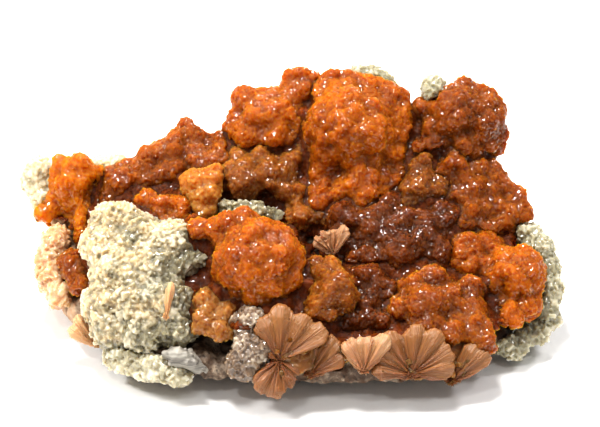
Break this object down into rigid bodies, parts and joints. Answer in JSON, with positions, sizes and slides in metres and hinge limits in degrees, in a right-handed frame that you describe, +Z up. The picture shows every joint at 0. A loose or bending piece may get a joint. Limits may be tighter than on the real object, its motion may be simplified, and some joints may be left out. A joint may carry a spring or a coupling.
{
  "type": "mineral specimen",
  "caption": "Natural mineral specimen: balls of orange stellerite crystals and crusts of pale calcite grown on a slab of grey-brown rock.",
  "frame": {"origin": "on the ground under the middle of the specimen's box, at the level of the flat the rock rests on", "axes": "+X to the right as the specimen is shown, along its longest extent; +Y away from the viewer; +Z up"},
  "size_m": [0.1096, 0.063, 0.045],
  "materials": {
    "rock": "rough broken rock",
    "stellerite": "glassy translucent orange crystals",
    "dark_stellerite": "glassy red-brown crystals",
    "broken_stellerite": "silky peach cleavage",
    "calcite": "sparkling sugary crust",
    "grey_calcite": "bedded, dull"
  },
  "bodies": {
    "root": {"rock_matrix": "rock", "stellerite_crust": "dark_stellerite", "left_ball_cluster": "stellerite", "lower_left_ball": "stellerite", "arm_cluster": "stellerite", "lower_arm_cluster": "stellerite", "pale_rosette": "stellerite", "pocket_cluster": "stellerite", "crown_left_cluster": "stellerite", "crown_cluster": "stellerite", "smoky_cluster": "stellerite", "wall_cluster": "stellerite", "low_middle_cluster": "stellerite", "tower_cluster": "stellerite", "right_slope_cluster": "stellerite", "right_ball_cluster": "stellerite", "front_right_cluster": "stellerite", "centre_ball_cluster": "stellerite", "golden_rosette": "stellerite", "amber_corner": "stellerite", "front_bow_tie": "broken_stellerite", "front_fan_middle": "broken_stellerite", "front_fan_centre": "broken_stellerite", "front_fan_right": "broken_stellerite", "right_edge_fan": "broken_stellerite", "left_edge_fan": "broken_stellerite", "pocket_blades": "broken_stellerite", "blade_in_calcite": "broken_stellerite", "calcite_left_mass": "calcite", "calcite_lower_rim": "calcite", "calcite_right_rim": "calcite", "calcite_far_left": "calcite", "calcite_behind_crown": "calcite", "calcite_on_tower": "calcite", "calcite_arm_patch": "calcite", "calcite_in_pocket": "calcite", "drusy_knob": "calcite", "left_edge_crust": "calcite", "grey_calcite_lens": "grey_calcite"}
  },
  "joints": []
}
